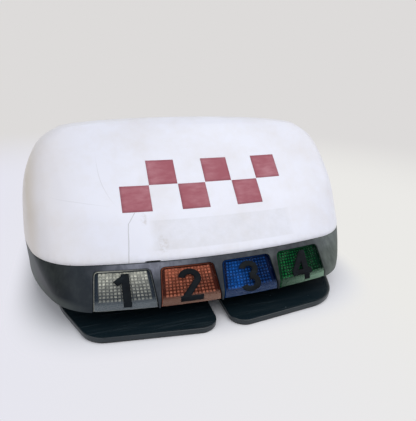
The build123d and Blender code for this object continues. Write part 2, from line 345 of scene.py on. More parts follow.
def dome_rows(sizes, path):
    """Dome levels at any distances from the rim, on a curve through the listed ones: a cubic between two
    neighbours whose slope at each is that of the curve through the levels on both sides."""
    knots = dome_path(sizes)
    slopes = np.gradient(dome_levels, knots, axis=0)
    i = np.clip(np.searchsorted(knots, path, "right") - 1, 0, len(knots) - 2)
    span = (knots[i + 1] - knots[i])[..., None]
    s = (path - knots[i])[..., None] / span
    low = (1 + 2 * s) * (1 - s) ** 2 * dome_levels[i] + s * (1 - s) ** 2 * span * slopes[i]
    high = s**2 * (3 - 2 * s) * dome_levels[i + 1] + s**2 * (s - 1) * span * slopes[i + 1]
    return low + high


def dome_plan(sizes, rows, thinner=0.0, slant=1.3):
    """Outline and height of dome levels, drawn smaller by a wall. Through the slanting long faces the wall
    measures more, so it counts slant times as much in depth."""
    rise, *shares = np.moveaxis(rows, -1, 0)[..., None]
    rim_top = sizes.top + sizes.rim
    plan = Plan(*(part * share for part, share in zip(seam_plan(sizes, -thinner, -thinner * slant), shares)))
    return plan, rim_top + (sizes.ridge - rim_top - thinner) * rise


def dome_skin(sizes, rows, thinner=0.0):
    """Front half of the dome over a row of its levels: at each one, a ring on its outline."""
    return rings(*dome_plan(sizes, rows, thinner))


def fillet_rows(sizes, reach, steps=6):
    """Dome levels round the crease above the upright rim: a parabola that leaves the rim below the crease and
    meets the dome above it."""
    start = dome_levels[0].copy()
    start[0] = -reach / (sizes.ridge - sizes.top - sizes.rim)
    stop = dome_rows(sizes, np.array(reach))
    a = np.linspace(0, 1, steps)[:, None]
    return (1 - a) ** 2 * start + 2 * a * (1 - a) * dome_levels[0] + a**2 * stop


# Setting of a range that starts and ends softly
SOFT = {"interpolation_type": "SMOOTHSTEP"}


def node(tree, kind, *inputs, out=0, **settings):
    """Adds a shader node with its settings and links, and gives one of its outputs. kind is its type and,
    after a space, its operation. Values and sockets go to its inputs by name, with _ for a space, or in their
    order: a MapRange has value, from min, from max, to min and to max, and a MixRGB has share and two
    colours. Its other settings are in small letters."""
    kind, *operation = kind.split()
    made = tree.nodes.new("ShaderNode" + kind)
    for choice in operation:
        made.operation = choice
    places = list(enumerate(inputs))
    for name, value in settings.items():
        if name[0].islower():
            setattr(made, name, value)
        else:
            places.append((name.replace("_", " "), value))
    for place, value in places:
        if isinstance(value, bpy.types.NodeSocket):
            tree.links.new(value, made.inputs[place])
        else:
            made.inputs[place].default_value = value
    return made.outputs[out] if made.outputs else made


def new_finish(name):
    """Empty material, the function that adds nodes to it, and the piece's own coordinates in it."""
    finish = bpy.data.materials.new(name)
    finish.use_nodes = True
    finish.node_tree.nodes.clear()
    add = partial(node, finish.node_tree)
    return finish, add, add("TexCoord", out="Object")


def close_finish(finish, shader):
    """Links a shader to the material's output."""
    node(finish.node_tree, "OutputMaterial", shader)
    return finish


def specks(add, place, spacing, clusters):
    """Specks of dirt and dust: dots at the middles of cells, about a tenth of a cell wide, in clusters."""
    cell = add("TexVoronoi", place, Scale=1 / spacing, Randomness=1.0)
    return add("Math MULTIPLY", add("MapRange", cell, 0.07, 0.04), clusters)


def opal_acrylic(colours):
    """Opal acrylic, thermoformed: milky white through and through with a soft gloss, and light spreads a few
    millimetres inside it. Years outdoors left fine scratches, yellowing at the left end, grime along the
    seam, two hairline cracks, the mark of a removed label and specks of dirt. Shade is painted on where the
    left end turns to the side."""
    finish, add, place = new_finish("opal_acrylic_thermoformed")
    aged_and_shade = colours.aged_and_shade
    x, y, z = add("SeparateXYZ", place).node.outputs
    front = add("MapRange", y, 0.0, -0.03)
    # Blotches of hand-wide smears, 50 mm across
    smear = add("TexNoise", place, Scale=1 / 0.05, Detail=5.0, Roughness=0.6)
    smeared = add("MapRange", smear, 0.42, 0.75, 0.0, 0.3)
    colour = add("MixRGB", smeared, colours.opal, aged_and_shade)
    # Yellowing and dust towards the left end, and painted shade, thickest where it turns to the side away
    # from the light
    for start, stop, most in ((-0.13, -0.21, 0.4), (-0.194, -0.212, 0.8)):
        colour = add("MixRGB", add("MapRange", x, start, stop, 0.0, most, **SOFT), colour, aged_and_shade)
    # Grime in runs 6 mm wide that climb from the seam
    stretched = add("Mapping", place, Scale=(1.0, 1.0, 0.15))
    runs = add("TexNoise", stretched, Scale=1 / 0.006, Detail=4.0)
    climb = add("Math MULTIPLY_ADD", runs, -0.016, z)
    grime = add("MapRange", climb, 0.072, 0.064, 0.0, 0.14)
    colour = add("MixRGB", grime, colour, linear("#A8A397"))
    # Coordinates about the mark of a removed label, 180 mm by 28 mm, and about two clusters of glue flecks.
    # They are 1 at half the width and half the height
    label, *clusters = [
        add("Mapping", place, Location=(-at_x / wide, 0.0, -at_z / tall), Scale=(1 / wide, 0.0, 1 / tall))
        for at_x, at_z, wide, tall in (
            (0.018, 0.0965, 0.09, 0.014), (-0.0805, 0.112, 0.005, 0.007), (-0.062, 0.088, 0.008, 0.010),
        )
    ]
    # The mark is greyer than the shell round it, with patches of old glue
    across, _, up = add("SeparateXYZ", add("VectorMath ABSOLUTE", label)).node.outputs
    mark = add("MapRange", add("Math MAXIMUM", across, up), 1.04, 0.96)
    glue = add("TexNoise", place, Scale=1 / 0.014, Detail=6.0, Roughness=0.65)
    glue = add("MapRange", glue, 0.40, 0.66, 0.14, 0.3)
    for share in (front, glue):
        mark = add("Math MULTIPLY", mark, share)
    colour = add("MixRGB", mark, colour, linear("#BFBFC0"))
    # Two hairline cracks and a scratch. Each runs along a path in X over a stretch of heights or widths,
    # given by its middle and the distances from it where the line ends and where it is at full strength
    wander = add("TexNoise", place, Scale=1 / 0.012, Detail=3.0)
    kink = add("MapRange", z, 0.1088, 0.1288, 0.0, 0.015)
    lower = add("Math ADD", add("Math MULTIPLY_ADD", z, 0.12, -0.1126), kink)
    upper = add("Math POWER", add("Math SUBTRACT", 0.18, z), 3.0)
    upper = add("Math MULTIPLY_ADD", upper, 110.0, -0.1285)
    level = add("Math MULTIPLY_ADD", z, -7.0, 0.758)
    crack = None
    for path, along, middle, end, full, width, share in (
        (lower, z, 0.09, 0.031, 0.028, 0.0007, 0.5),
        (upper, z, 0.149, 0.026, 0.005, 0.0006, 0.22),
        (level, x, -0.152, 0.036, 0.01, 0.003, 0.14),
    ):
        path = add("Math MULTIPLY_ADD", wander, width * 2.0, path)
        pairs = ((x, path), (along, middle))
        off, away = [add("Math ABSOLUTE", add("Math SUBTRACT", *pair)) for pair in pairs]
        mark = add("MapRange", off, width, width * 0.3, 0.0, share)
        mark = add("Math MULTIPLY", mark, add("MapRange", away, end, full))
        crack = add("Math MAXIMUM", crack, mark) if crack else mark
    crack = add("Math MULTIPLY", crack, front)
    colour = add("MixRGB", crack, colour, linear("#857F78"))
    # Brown flecks of glue
    flecks = add("TexNoise", place, Scale=1 / 0.004, Detail=4.0, Roughness=0.7)
    flecks = add("MapRange", flecks, 0.42, 0.68, 0.0, 0.42)
    for centred in clusters:
        cluster = add("MapRange", add("VectorMath LENGTH", centred, out="Value"), 1.0, 0.5)
        for share in (front, flecks):
            cluster = add("Math MULTIPLY", cluster, share)
        colour = add("MixRGB", cluster, colour, linear("#A89C8C"))
    # Specks of dirt about 1 mm across
    speck = specks(add, place, 0.016, add("MapRange", wander, 0.6, 0.68, 0.0, 0.75))
    colour = add("MixRGB", speck, colour, linear("#958C7E"))
    # Sparse wiping scratches, drawn 1.5 mm wide so that they show
    brushed = add("Mapping", place, Rotation=(0.3, 0.2, 0.5), Scale=(0.1, 1.0, 1.0))
    scratch = add("TexNoise", brushed, Scale=1 / 0.0015, Detail=1.0)
    scratch = add("MapRange", scratch, 0.62, 0.74, 0.0, 0.25)
    rough = add("MapRange", add("Math ADD", scratch, smear), 0.4, 0.8, 0.28, 0.4)
    relief = add("Bump", Height=crack, Strength=0.3, Distance=0.0003, invert=True)
    return close_finish(finish, add(
        "BsdfPrincipled", Base_Color=colour, Roughness=rough, IOR=1.49, Normal=relief,
        Subsurface_Weight=0.1, Subsurface_Scale=0.004, Subsurface_Radius=(1.0, 0.95, 0.9),
        Coat_Weight=0.2, Coat_Roughness=0.2,
    ))


def skirt_moulding(colours):
    """Black ABS, injection moulded with a fine grain: dull, with a broad weak highlight. Road dust and
    washing left a grey haze in smears, rubbed streaks, and a dustier right end. A bluish light by the left
    lenses and a blue grey highlight over the windows are painted on."""
    finish, add, place = new_finish("black_abs_moulded")
    x, _, z = add("SeparateXYZ", place).node.outputs
    # Smears 40 mm across, rubbed in streaks 9 mm wide, thinner on the left except on the lip at its corner
    haze = add("TexNoise", place, Scale=1 / 0.04, Detail=5.0, Roughness=0.6)
    stretched = add("Mapping", place, Scale=(1.0, 1.0, 0.3))
    rub = add("TexNoise", stretched, Scale=1 / 0.009, Detail=6.0, Roughness=0.65)
    share = add("MapRange", add("Math MULTIPLY", haze, rub), 0.2, 0.48, 0.0, 0.55)
    share = add("Math MULTIPLY", share, add("MapRange", x, -0.15, 0.1, 0.3, 0.75))
    lip = add("MapRange", z, 0.041, 0.034, 0.0, 0.3)
    lip = add("Math MULTIPLY", lip, add("MapRange", x, -0.15, -0.172))
    share = add("Math ADD", share, lip)
    # Both ends are dustier, the right one most, in slanting smears 12 mm across
    slanted = add("Mapping", place, Rotation=(0.0, 0.6, 0.0), Scale=(1.0, 1.0, 0.4))
    wiped = add("TexNoise", slanted, Scale=1 / 0.012, Detail=4.0, Roughness=0.6)
    wiped = add("MapRange", wiped, 0.35, 0.62, 0.45)
    for start, stop, most in ((0.115, 0.17, 0.95), (-0.195, -0.222, 0.6)):
        end = add("MapRange", x, start, stop, 0.0, most, **SOFT)
        share = add("Math ADD", share, add("Math MULTIPLY", end, wiped), use_clamp=True)
    colour = add("MixRGB", share, colours.skirt, colours.skirt_worn)
    # Painted light: a thin bluish light beside and between the two lenses on the left. Then a painted
    # highlight in blue grey between the windows, and more over them, most by those two lenses. Each is a
    # strength times soft ranges
    for layer, code, ranges in (
        (0.1, "#485468", ((x, -0.185, -0.16), (x, 0.06, 0.03))),
        (1.0, "#81838F", (
            (z, 0.054, 0.067, 0.1), (z, 0.0716, 0.0708), (x, -0.16, -0.08), (x, -0.002, -0.08, 0.14, 0.78),
            (rub, 0.4, 0.6, 0.75, 1.2),
        )),
    ):
        for values in ranges:
            layer = add("Math MULTIPLY", layer, add("MapRange", *values, **SOFT))
        colour = add("MixRGB", layer, colour, linear(code))
    # Moulded grain, 1 mm where the real one is 0.3 mm, so that it shows
    grain = add("TexNoise", place, Scale=1 / 0.001, Detail=2.0)
    relief = add("Bump", Height=add("Math ADD", grain, rub), Strength=0.2, Distance=0.0002)
    rough = add("MapRange", share, 0.0, 1.0, 0.36, 0.6)
    return close_finish(finish, add(
        "BsdfPrincipled", Base_Color=colour, Roughness=rough, IOR=1.53, Specular_IOR_Level=0.15,
        Normal=relief,
    ))


def lens_face(name, dust_and_reflection_colour, left, right):
    """Smooth outer face of an injection-moulded acrylic lens: clear to what lies behind it, with a thin veil
    of road dust that gathers towards the lower edge and dulls its gloss. There it is also a painted
    reflection of the floor on the lower strip. left and right are pairs of a side's place in X and the
    veil's share there."""
    finish, add, place = new_finish(name + "_acrylic_face")
    x, _, z = add("SeparateXYZ", place).node.outputs
    dust = add("TexNoise", place, Scale=1 / 0.012, Detail=5.0, Roughness=0.65)
    # Dust and painted reflection: the veil thickens towards the lower edge, more on one side than the other
    low = add("MapRange", z, 0.042, 0.036)
    low = add("Math MULTIPLY", low, add("MapRange", x, left[0], right[0], left[1], right[1]))
    share = add("Math ADD", add("MapRange", dust, 0.45, 0.75, 0.0, 0.05), low)
    veil_and_reflection = add("BsdfPrincipled", Base_Color=dust_and_reflection_colour, Roughness=0.35, IOR=1.49)
    clear = add("BsdfTransparent", Color=(1.0, 1.0, 1.0, 1.0))
    return close_finish(finish, add("MixShader", share, clear, veil_and_reflection))


def lens_prisms(name, bright, dark):
    """Prism side of a moulded acrylic lens, as it shows through the smooth face: flats that throw the light
    back, and grooves that look dark."""
    finish, add, place = new_finish(name + "_acrylic_prisms")
    shade = add("Attribute", out="Fac", attribute_name="shade")
    # Blurred patches within the prisms, 3 mm across
    blur = add("TexNoise", place, Scale=1 / 0.003, Detail=2.0)
    blur = add("MapRange", blur, 0.3, 0.7, 0.65, 1.1)
    share = add("Math MULTIPLY", shade, blur, use_clamp=True)
    # Painted light and shade: bright is the lens as its lit flats look, dark as its shaded grooves look
    colour = add("MixRGB", share, dark, bright)
    return close_finish(finish, add(
        "BsdfPrincipled", Base_Color=colour, Roughness=0.3, IOR=1.49, Specular_IOR_Level=0.03,
    ))


def cut_film(name, colour, worn):
    """Cast vinyl film, cut on a plotter: thin and even with a satin sheen, paler where it is rubbed, in
    streaks 6 mm wide."""
    finish, add, place = new_finish(name)
    brushed = add("Mapping", place, Scale=(0.35, 1.0, 1.0))
    rub = add("TexNoise", brushed, Scale=1 / 0.006, Detail=6.0, Roughness=0.65)
    wide = add("TexNoise", place, Scale=1 / 0.045, Detail=2.0)
    share = add("MapRange", add("Math MULTIPLY", rub, wide), 0.18, 0.42)
    colour = add("MixRGB", share, colour, worn)
    rough = add("MapRange", rub, 0.3, 0.7, 0.34, 0.5)
    return close_finish(finish, add(
        "BsdfPrincipled", Base_Color=colour, Roughness=rough, IOR=1.5, Specular_IOR_Level=0.05,
    ))


def plate_sheet(colours):
    """Black acrylic sheet, routed to shape: a deep gloss with wiping streaks 4 mm wide and specks of dust."""
    finish, add, place = new_finish("black_acrylic_sheet")
    wiped = add("Mapping", place, Rotation=(0.0, 0.0, 0.1), Scale=(0.07, 1.0, 1.0))
    streak = add("TexNoise", wiped, Scale=1 / 0.004, Detail=4.0)
    wide = add("TexNoise", place, Scale=1 / 0.03, Detail=2.0)
    speck = specks(add, place, 0.011, add("MapRange", wide, 0.52, 0.6, 0.0, 0.7))
    dust = add("Math MAXIMUM", add("MapRange", streak, 0.5, 0.8, 0.0, 0.07), speck)
    colour = add("MixRGB", dust, colours.plate, linear("#7C8486"))
    rough = add("MapRange", streak, 0.3, 0.7, 0.1, 0.24)
    return close_finish(finish, add("BsdfPrincipled", Base_Color=colour, Roughness=rough, IOR=1.49))


def hidden_finish(name, code, roughness, grain, vary=0.07):
    """Even finish of a piece underneath: a mottle and a relief a few millimetres wide, darker where the
    relief rises.
    """
    finish, add, place = new_finish(name)
    mottle = add("TexNoise", place, Scale=1 / grain, Detail=4.0)
    share = add("MapRange", mottle, 0.3, 0.7, 0.0, 0.35)
    colour = add("MixRGB", share, linear(code), (0.0, 0.0, 0.0, 1.0))
    rough = add("MapRange", mottle, 0.3, 0.7, roughness - vary, roughness + vary)
    relief = add("Bump", Height=mottle, Strength=0.15, Distance=0.0003)
    return close_finish(finish, add("BsdfPrincipled", Base_Color=colour, Roughness=rough, Normal=relief))


def settings():
    """The add-on's settings of the current scene."""
    return bpy.context.scene.roof_sign


class ROOFSIGN_OT_dome(bpy.types.Operator):
    """Opal dome over the seam"""

    bl_idname = "roof_sign.dome"
    bl_label = "Dome"

    def execute(self, context):
        sizes = settings().housing
        # The fillet over the rim, the gap under it that the gasket fills, its rounding and the inner ledge
        reach, gap, edge, ledge = 3.0 * MM, 1.0 * MM, 0.7 * MM, 9.0 * MM
        base = sizes.top + gap
        inwards, down = rounding(edge)
        rim = seam_rings(sizes, [base, *(base + inwards)], [ledge, *down])
        fillet = dome_skin(sizes, fillet_rows(sizes, reach))
        # Rows of the outer and the inner skin. The outer ones stand closer towards the ridge
        ridge, outer_rows, inner_rows, crowding = dome_path(sizes)[-1], 90, 24, 0.9
        path = reach + (ridge - reach) * np.linspace(0, 1, outer_rows) ** crowding
        outer = dome_skin(sizes, dome_rows(sizes, path))
        inner = dome_skin(sizes, dome_rows(sizes, np.linspace(ridge, 0, inner_rows)), sizes.wall)
        back = seam_rings(sizes, [sizes.top + sizes.rim, base], [ledge, ledge])
        front = np.concatenate([rim, fillet, outer, inner, back])
        finish = opal_acrylic(settings().colours)
        piece = make_piece("dome_shell", [front, front * HALF_TURN], [finish], crease=50.0)
        seat(piece, "opal_acrylic", "dome")
        return {"FINISHED"}


def skirt_slope(sizes):
    """Height of the skirt's slope, and its length up the outer face."""
    rise = sizes.top - sizes.bend
    return rise, np.hypot(rise, sizes.flare)


def skirt_profile(sizes, run, soft=3.5 * MM):
    """Shares of the skirt's flare and heights at distances up its outer face: up the lip, round the bend on a
    parabola that reaches a soft distance to both sides, and up the slope."""
    lip = sizes.bend - sizes.bottom
    rise, slope = skirt_slope(sizes)
    over = np.clip((run - lip + soft) / (2 * soft), 0, 1)
    share = np.where(run > lip + soft, 1 - (run - lip) / slope, 1 - over**2 * soft / slope)
    on_bend = sizes.bend + (over**2 * rise / slope - (1 - over) ** 2) * soft
    straight = np.where(run > lip, sizes.bend + (run - lip) * rise / slope, sizes.bottom + run)
    height = np.where((over > 0) & (over < 1), on_bend, straight)
    return share, height


def skirt_lean(sizes, run, step=0.2 * MM):
    """Sine of the outer face's angle to the level at distances up it: 1 on the lip, less on the slope."""
    low = skirt_profile(sizes, run - step)
    high = skirt_profile(sizes, run + step)
    up = high[1] - low[1]
    return up / np.hypot(up, (high[0] - low[0]) * sizes.flare)


def half_row(windows):
    """Half the length of the row of windows."""
    return windows.count * windows.pitch / 2


def window_middles(windows):
    """Distances of the windows' middles from the sign's middle."""
    return (np.arange(windows.count) - (windows.count - 1) / 2) * windows.pitch


def skirt_ring(sizes, windows, station, share, height, inset):
    """Points of the skirt at stations along the front: from -1 to 1 over the windows by distance along the
    outline, and on to 2 over the rest of the quarter."""
    plan = seam_plan(sizes, -sizes.draft * share, sizes.flare * share)
    at = joints(plan)
    on_face = plan.face * at.face_stop
    on_corner = plan.corner * (at.end_start - at.face_stop)
    whole = on_face + on_corner + plan.end * (pi / 2 - at.end_start)
    row, far = half_row(windows), np.abs(station)
    run = row * np.minimum(far, 1) + (whole - row) * np.maximum(far - 1, 0)
    angle = np.where(run < on_face, run / plan.face, at.face_stop + (run - on_face) / plan.corner)
    past_corner = at.end_start + (run - on_face - on_corner) / plan.end
    angle = np.minimum(np.where(run > on_face + on_corner, past_corner, angle), pi / 2)
    return stacked(*outline(plan, np.sign(station) * angle, inset), height)


def skirt_skin(sizes, windows, along, run, depth):
    """Points at distances along the front and up the skirt's outer face, a depth below it."""
    share, height = skirt_profile(sizes, run)
    station = along / half_row(windows)
    return skirt_ring(sizes, windows, station, share, height, depth / skirt_lean(sizes, run))


def window_top(sizes, windows):
    """Distance up the outer face to the top of a window."""
    rise, slope = skirt_slope(sizes)
    return sizes.bend - sizes.bottom + slope * (rise - windows.margin) / rise


def window_half_width(sizes, windows, run):
    """Half the width of a window at a distance up the outer face, without its corners."""
    wide = (windows.pitch - windows.mullion_foot) / 2
    narrow = (windows.pitch - windows.mullion_top) / 2
    return wide - (wide - narrow) * run / window_top(sizes, windows)


# Steps along half of a window's corner and along half of its top, the same for its bay
CORNER_STEPS, TOP_STEPS = 4, 6


def onward(start, stop, number):
    """Values from after the start to the stop, in equal steps."""
    return np.linspace(start, stop, number + 1)[1:]


def window_corner(sizes, windows):
    """Distances up the outer face to a window's top and to where its corners start, and the distance from its
    middle to their centres."""
    top = window_top(sizes, windows)
    start = top - windows.corner
    return top, start, window_half_width(sizes, windows, start) - windows.corner


def both_halves(along, up):
    """A path up the right side to the middle of the top, then its mirror image down the left side."""
    along, up = np.concatenate(along), np.concatenate(up)
    return np.concatenate([along, -along[-2::-1]]), np.concatenate([up, up[-2::-1]])


def window_path(sizes, windows, grown, side):
    """One window's edge, moved outwards: up the right side at given distances, round the corner, over the top
    and down the left side."""
    top, start, centre = window_corner(sizes, windows)
    turn = onward(0, pi / 2, 2 * CORNER_STEPS)
    radius = windows.corner + grown
    along = [window_half_width(sizes, windows, side) + grown, centre + radius * np.cos(turn)]
    up = [side, start + radius * np.sin(turn), np.full(TOP_STEPS, top + grown)]
    return both_halves(along + [centre * onward(1, 0, TOP_STEPS)], up)


def bay_path(sizes, windows, side, ceiling):
    """Edge of a window's bay with as many points as the window's edge has."""
    _, start, centre = window_corner(sizes, windows)
    half = windows.pitch / 2
    upright = [np.full(len(side) + CORNER_STEPS, half), onward(half, centre, CORNER_STEPS)]
    up = [side, onward(start, ceiling, CORNER_STEPS), np.full(CORNER_STEPS + TOP_STEPS, ceiling)]
    return both_halves(upright + [centre * onward(1, 0, TOP_STEPS)], up)


class ROOFSIGN_OT_skirt(bpy.types.Operator):
    """Black skirt with its windows"""

    bl_idname = "roof_sign.skirt"
    bl_label = "Skirt"

    def execute(self, context):
        sizes, windows = settings().housing, settings().windows
        # Skirt over a window that belongs to its bay, and the depth and width of the flange at the top
        over_window, flange_depth, flange_width = 2.0 * MM, 3.0 * MM, 6.0 * MM
        top, start, _ = window_corner(sizes, windows)
        whole = sizes.bend - sizes.bottom + skirt_slope(sizes)[1]
        ceiling = top + over_window
        # Distances up a window's side: wide rows on the lip, close ones over the bend, and wide ones again
        bend_start, bend_stop = 6.0 * MM, 13.0 * MM
        side = np.concatenate([
            np.linspace(0, bend_start, 4)[:-1], np.linspace(bend_start, bend_stop, 8)[:-1],
            np.linspace(bend_stop, start, 9),
        ])
        inwards, down = rounding(windows.edge)
        edge = bay_path(sizes, windows, side, ceiling)
        paths = [edge, *(window_path(sizes, windows, grown, side) for grown in [*down, 0.0]), edge]
        along, up = np.stack(paths, 1)
        depths = np.array([0.0, *inwards, sizes.wall, sizes.wall])[:, None]
        middles = window_middles(windows)
        patches = [skirt_skin(sizes, windows, along + middle, up, depths) for middle in middles]
        # Columns over the windows that meet the bays' upper edges, and the rest of the front
        rest_columns = 70
        upper = edge[0][len(side) + CORNER_STEPS - 1 : len(edge[0]) // 2 + 1]
        bay = np.concatenate([-upper, upper[-2::-1]])
        row = np.unique(np.round((middles[:, None] + bay[None]).ravel() / half_row(windows), 9))
        rest = 1 + np.linspace(0, 1, rest_columns)
        full = np.concatenate([-rest[::-1], row[1:-1], rest])
        # Rows above the windows: outer face, upper edge, flange, and the inner face back down
        run_up = np.linspace(ceiling, whole - windows.edge, 3)
        share, height = skirt_profile(sizes, run_up)
        wall = sizes.wall / skirt_lean(sizes, run_up)
        rows = [
            (share, height, 0 * share),
            (0 * down[1:], sizes.top - down[1:], inwards[1:]),
            (np.zeros(2), np.array([sizes.top, sizes.top - flange_depth]), np.full(2, flange_width)),
            (share[-2::-1], height[-2::-1], wall[-2::-1]),
        ]
        share, height, inset = [np.concatenate(column)[:, None] for column in zip(*rows)]
        patches.append(skirt_ring(sizes, windows, full[None], share, height, inset))
        # Rows beside the windows: outer face down to the lower edge, then up the inner face
        run_side = np.concatenate([side, onward(start, ceiling, CORNER_STEPS)])
        run_down = np.concatenate([run_side[::-1], run_side])[:, None]
        share, height = skirt_profile(sizes, run_down)
        inner = np.repeat([0.0, 1.0], len(run_side))[:, None]
        inset = inner * sizes.wall / skirt_lean(sizes, run_down)
        for stations in (rest, -rest[::-1]):
            patches.append(skirt_ring(sizes, windows, stations[None], share, height, inset))
        patches += [patch * HALF_TURN for patch in patches]
        finish = skirt_moulding(settings().colours)
        piece = make_piece("skirt_band", patches, [finish], crease=40.0, fill=True)
        seat(piece, "skirt_plastic", "skirt")
        return {"FINISHED"}


class ROOFSIGN_OT_gasket(bpy.types.Operator):
    """Rubber gasket in the seam, squeezed out a little at one place"""

    bl_idname = "roof_sign.gasket"
    bl_label = "Gasket"

    def execute(self, context):
        sizes = settings().housing
        # The middle of its height, half that height, its inner side, its outer face and the bulge in that
        middle, half, inner, face, bulge = sizes.top + 0.5 * MM, 0.55 * MM, 6.0 * MM, 1.1 * MM, 0.4 * MM
        turn = np.linspace(-pi / 2, pi / 2, 7)
        heights = [middle - half, *(middle + half * np.sin(turn)), middle + half]
        insets = [inner, *(face - bulge * np.cos(turn)), inner]
        back = seam_rings(sizes, heights, insets)
        front = back.copy()
        # The squeezed place: a bump with steep sides, 22 mm wide, that comes out and rises
        squeeze_x, squeeze_half, out, rise = -0.076, 11.0 * MM, 1.3 * MM, 0.4 * MM
        squeeze = np.exp(-(((front[..., 0] - squeeze_x) / squeeze_half) ** 4))[1:-1]
        front[1:-1, :, 1] -= squeeze * out
        front[1:-1, :, 2] += squeeze * np.linspace(0, rise, len(turn))[:, None]
        closed = [np.concatenate([ring, ring[:1]]) for ring in (front, back * HALF_TURN)]
        rubber = hidden_finish("black_rubber_moulded", "#101113", 0.65, 0.004)
        seat(make_piece("gasket_ring", closed, [rubber]), "gasket_rubber", "seam_gasket")
        return {"FINISHED"}


def prism_cells(number, slope=0.17):
    """Edges of a row of prisms from 0 to 1, each with two slopes and a flat, and 1 at the flats' edges."""
    places = (np.arange(number)[:, None] + (0.0, slope, 1 - slope)).ravel() / number
    return np.append(places, 1.0), np.append(np.tile((0.0, 1.0, 1.0), number), 0.0)


def lens_grid(sizes, windows):
    """Rows and columns of a lens: distances up its face and across it, and the share of a prism's height that
    stands on the back at each point. The prisms' columns fan out with the sides of the window."""
    # The plain strip's first row and where its even rows start, and the prisms' distance from a rounded edge
    first_row, even_rows, clear = 3.0 * MM, 6.0 * MM, 1.5 * windows.edge
    top = window_top(sizes, windows) - windows.gap
    corner = windows.corner - windows.gap
    start, high, soft = top - corner, top - windows.border, windows.edge
    cells, tall = prism_cells(windows.rows)
    below = np.concatenate([
        [windows.gap, windows.gap + soft, first_row], np.linspace(even_rows, windows.prism_foot, 6)[:-1],
    ])
    first, last = asin((high - start) / corner), asin(1 - soft / corner)
    above = start + corner * np.sin(np.linspace(first, last, 7))[1:-1]
    prisms = windows.prism_foot + (high - windows.prism_foot) * cells
    run = np.concatenate([below, prisms, above, [top - soft, top]])
    tall_up = np.concatenate([np.zeros(len(below)), tall, np.zeros(len(above) + 2)])
    over = np.clip((run - start) / corner, 0, 1)
    full = window_half_width(sizes, windows, run)[:, None] - windows.gap
    wide = full - corner * (1 - np.sqrt(1 - over**2))[:, None]
    cells, tall = prism_cells(windows.columns)
    field = np.minimum(full - windows.side_border, wide - clear)
    across = np.concatenate([-wide, soft - wide, field * (2 * cells - 1), wide - soft, wide], 1)
    return run, across, tall_up[:, None] * [0, 0, *tall, 0, 0]


def prism_shades(tall, glow, soft, vary=0.18, seed=4):
    """Shade of every face of the prism side: the lens's glow at its place on the flats, varied from prism to
    prism, and on the slopes the glow's square times a soft share, which goes from its lower value to its
    upper one up the lens."""
    corners = np.stack([tall[:-1, :-1], tall[1:, :-1], tall[:-1, 1:], tall[1:, 1:]])
    flat = corners.min(0)
    slope = corners.max(0) - flat
    up, across = np.mgrid[0 : 1 : flat.shape[0] * 1j, -1 : 1 : flat.shape[1] * 1j]
    shine = glow(across, up)
    varied = np.random.default_rng(seed).normal(1.0, vary, flat.shape)
    return np.clip(flat * varied * shine + slope * (soft[0] + (soft[1] - soft[0]) * up) * shine**2, 0, 1)


class ROOFSIGN_OT_lenses(bpy.types.Operator):
    """Prismatic lenses in the windows of both sides"""

    bl_idname = "roof_sign.lenses"
    bl_label = "Lenses"

    def execute(self, context):
        sizes, windows, colours = settings().housing, settings().windows, settings().colours
        # Each lens: the painted shade of its grooves, the colour of its dust veil, which also paints a
        # reflection on the lower strip, that veil's shares at the left and right, its rim, the soft shares of
        # its slopes low and high, and the painted glow of its prisms over its width u, -1 to 1, and its
        # height v, 0 to 1
        lenses = {
            "clear": ("#2A323B", "#8F989C", (0.4, 0.42), 0.45, (0.35, 0.8),
                      lambda u, v: (0.08 + 1.1 * v) * (0.97 - 0.02 * u)),
            "orange": ("#3A1711", "#A27C6A", (0.4, 0.55), 0.2, (0.05, 0.85),
                       lambda u, v: 0.06 + 0.92 * v + 0.26 * np.exp(-(((v - 0.22) / 0.1) ** 2)) - 0.1 * u),
            "blue": ("#030D2A", "#4C6490", (0.36, 0.38), 0.14, (0.4, 0.7),
                     lambda u, v: 0.24 + 0.66 * np.exp(-(((u + 0.5) / 0.5) ** 2)) * (1 - 0.4 * v)),
            "green": ("#021C12", "#86A98F", (0.1, 0.72), 0.1, (0.0, 0.1),
                      lambda u, v: 0.14 + 0.24 * np.exp(-(((u + 0.7) / 0.5) ** 2))),
        }
        run, across, tall = lens_grid(sizes, windows)
        up = np.broadcast_to(run[:, None], across.shape)
        # The moulded edge is rounded: it drops away over the outermost strip of the face
        soften = np.ones(tall.shape)
        soften[1:-1, 1:-1] = 0
        front_depth = windows.recess + soften * windows.edge
        back_depth = windows.recess + windows.thickness - windows.prism_depth * (1 - tall)
        # Light gathers in the edges of a clear plate, so they look brighter than the plain border, most at
        # left. The edges' shares: below, above, left and right
        rim = soften[:-1, :-1] + soften[1:, 1:] > 0
        rim_light = rim * np.linspace(1.3, 0.25, rim.shape[1])
        edge_light = (0.3, 0.3, 0.8, 0.15)
        half = windows.pitch / 2
        for (tone, lens), middle in zip(lenses.items(), window_middles(windows)):
            groove_shade, dust, veil_and_reflection, edge, soft, glow = lens
            front, back = [
                skirt_skin(sizes, windows, across + middle, up, depth) for depth in (front_depth, back_depth)
            ]
            ends = ((0,), (-1,), (slice(None), 0), (slice(None), -1))
            patches = [front, back, *(np.stack([front[end], back[end]]) for end in ends)]
            rim_shade, *edge_shades = [edge * light for light in (rim_light, *edge_light)]
            shades = [rim_shade, prism_shades(tall, glow, soft), *edge_shades]
            face = lens_face(tone, linear(dust), (middle - half, veil_and_reflection[0]), (middle + half, veil_and_reflection[1]))
            prisms = lens_prisms(tone, getattr(colours, tone), linear(groove_shade))
            for end, where in SIDES:
                name = "lens_%s_%s" % (tone, end)
                placed = [patch * where for patch in patches]
                kinds = [rim, 1, 1, 1, 1, 1]
                piece = make_piece("moulded_" + name, placed, [face, prisms], kinds, shades, crease=15.0)
                seat(piece, "lens_" + tone, name)
        return {"FINISHED"}


